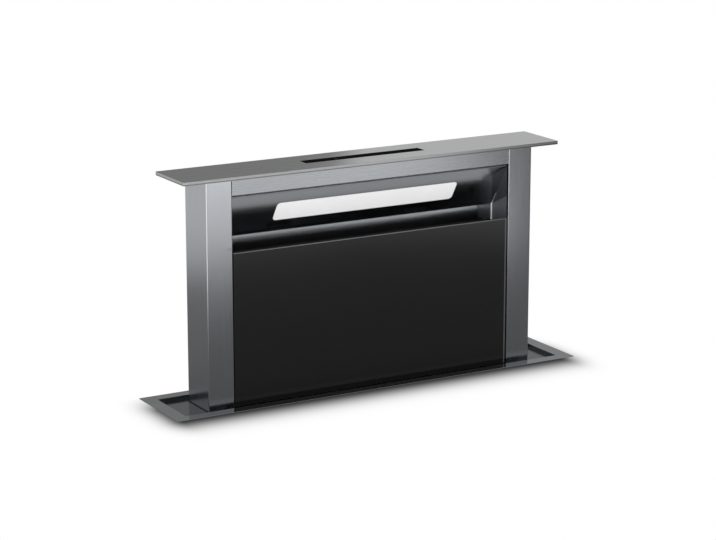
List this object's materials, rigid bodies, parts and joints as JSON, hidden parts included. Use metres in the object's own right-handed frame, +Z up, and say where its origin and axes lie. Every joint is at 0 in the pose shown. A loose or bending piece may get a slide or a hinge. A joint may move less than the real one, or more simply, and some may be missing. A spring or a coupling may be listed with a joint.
{
  "type": "downdraft vent",
  "caption": "Worktop downdraft extractor raised from its flange: steel column with a lit intake, black glass front, touch strip, belt lift, blower and housing below.",
  "frame": {"origin": "middle of the worktop cut-out, on the plane of the worktop's surface where the flange rests", "axes": "+Z up, +X to the cook's right along the flange, -Y towards the cook, the side of the glass front"},
  "size_m": [0.9, 0.3434, 1.069],
  "materials": {
    "polished_steel": "polished, nearly mirror bright",
    "brushed_steel": "finely brushed",
    "zinc_sheet": "galvanised, dull",
    "bright_steel": "bright zinc plated",
    "black_metal": "black, satin",
    "white_metal": "white, satin",
    "black_rubber": "matt",
    "black_glass": "black backed, glossy",
    "circuit_board": "green lacquer",
    "lamp_board": "white lacquer",
    "black_plastic": "fine grain",
    "grey_plastic": "fine grain",
    "white_plastic": "low friction acetal",
    "lit_diffuser": "lit frosted acrylic",
    "cast_aluminium": "die cast",
    "filter_aluminium": "satin"
  },
  "bodies": {
    "housing": {"worktop_flange": "polished_steel", "wiper_seal": "black_rubber", "housing_back": "zinc_sheet", "housing_front": "zinc_sheet", "housing_sides": "zinc_sheet", "housing_floor": "zinc_sheet", "guide_rails": "bright_steel", "drive_belts": "black_rubber", "idler_axles": "zinc_sheet", "shaft_bearings": "black_plastic", "lift_gearbox": "cast_aluminium", "lift_motor": "black_metal", "blower_case": "zinc_sheet", "blower_cover": "zinc_sheet", "scroll": "black_plastic", "blower_motor": "black_metal", "motor_bracket": "zinc_sheet", "outlet_collar": "black_plastic", "control_box": "grey_plastic", "control_board": "circuit_board", "control_cover": "grey_plastic", "mains_gland": "black_plastic", "case_screws": "bright_steel"},
    "column": {"top_plate": "brushed_steel", "plate_stiffener": "black_plastic", "touch_panel": "black_glass", "touch_board": "circuit_board", "left_pillar": "brushed_steel", "right_pillar": "brushed_steel", "front_fascia": "brushed_steel", "light_deflector": "brushed_steel", "led_diffuser": "lit_diffuser", "led_housing": "white_metal", "led_board": "lamp_board", "back_panel": "brushed_steel", "head_beam": "zinc_sheet", "lower_apron": "brushed_steel", "grease_trough": "brushed_steel", "filter_guides": "zinc_sheet", "magnet_catches": "black_plastic", "carriage_frame": "zinc_sheet", "carriage_plates": "zinc_sheet", "glide_blocks": "white_plastic", "belt_clamps": "black_metal", "column_screws": "bright_steel"},
    "glass_front": {"glass_panel": "black_glass", "glass_carrier": "black_metal"},
    "left_filter": {"left_filter_frame": "filter_aluminium", "left_filter_mesh": "filter_aluminium"},
    "right_filter": {"right_filter_frame": "filter_aluminium", "right_filter_mesh": "filter_aluminium"},
    "drive_axle": {"drive_shaft": "bright_steel", "drive_pulleys": "cast_aluminium"},
    "left_idler_pulley": {"left_idler": "white_plastic"},
    "right_idler_pulley": {"right_idler": "white_plastic"},
    "fan_wheel": {"impeller": "grey_plastic"},
    "front_flap": {"front_damper_flap": "black_plastic"},
    "rear_flap": {"rear_damper_flap": "black_plastic"},
    "left_foot": {"left_levelling_foot": "bright_steel"},
    "right_foot": {"right_levelling_foot": "bright_steel"}
  },
  "joints": [
    {"name": "column_rise", "type": "slide", "parent": "housing", "child": "column", "axis": [0, 0, 1], "range_m": [-0.448, 0]},
    {"name": "glass_tilt", "type": "hinge", "parent": "column", "child": "glass_front", "pos_m": [0, -0.037, 0.004], "axis": [1, 0, 0], "range_deg": [0, 25]},
    {"name": "left_filter_lift", "type": "slide", "parent": "column", "child": "left_filter", "axis": [0, 0, 1], "range_m": [0, 0.03]},
    {"name": "right_filter_lift", "type": "slide", "parent": "column", "child": "right_filter", "axis": [0, 0, 1], "range_m": [0, 0.03]},
    {"name": "drive_turn", "type": "hinge", "parent": "housing", "child": "drive_axle", "pos_m": [0, -0.02, -0.575], "axis": [1, 0, 0], "range_deg": [0, 1605]},
    {"name": "left_idler_turn", "type": "hinge", "parent": "housing", "child": "left_idler_pulley", "pos_m": [-0.39, -0.02, -0.04], "axis": [1, 0, 0], "range_deg": [0, 1605]},
    {"name": "right_idler_turn", "type": "hinge", "parent": "housing", "child": "right_idler_pulley", "pos_m": [0.39, -0.02, -0.04], "axis": [1, 0, 0], "range_deg": [0, 1605]},
    {"name": "fan_spin", "type": "hinge", "parent": "housing", "child": "fan_wheel", "pos_m": [-0.02, -0.15, -0.415], "axis": [0, 1, 0], "continuous": true},
    {"name": "front_flap_swing", "type": "hinge", "parent": "housing", "child": "front_flap", "pos_m": [0.178, -0.165, -0.347], "axis": [0, 0, 1], "range_deg": [0, 75]},
    {"name": "rear_flap_swing", "type": "hinge", "parent": "housing", "child": "rear_flap", "pos_m": [0.178, -0.165, -0.347], "axis": [0, 0, 1], "range_deg": [-75, 0]},
    {"name": "left_foot_adjust", "type": "slide", "parent": "housing", "child": "left_foot", "axis": [0, 0, -1], "range_m": [0, 0.025]},
    {"name": "right_foot_adjust", "type": "slide", "parent": "housing", "child": "right_foot", "axis": [0, 0, -1], "range_m": [0, 0.025]}
  ],
  "couplings": [
    {"joint": "drive_turn", "follows": "column_rise", "rad_per_m": -62.5},
    {"joint": "left_idler_turn", "follows": "column_rise", "rad_per_m": -62.5},
    {"joint": "right_idler_turn", "follows": "column_rise", "rad_per_m": -62.5},
    {"joint": "rear_flap_swing", "follows": "front_flap_swing", "ratio": -1}
  ]
}
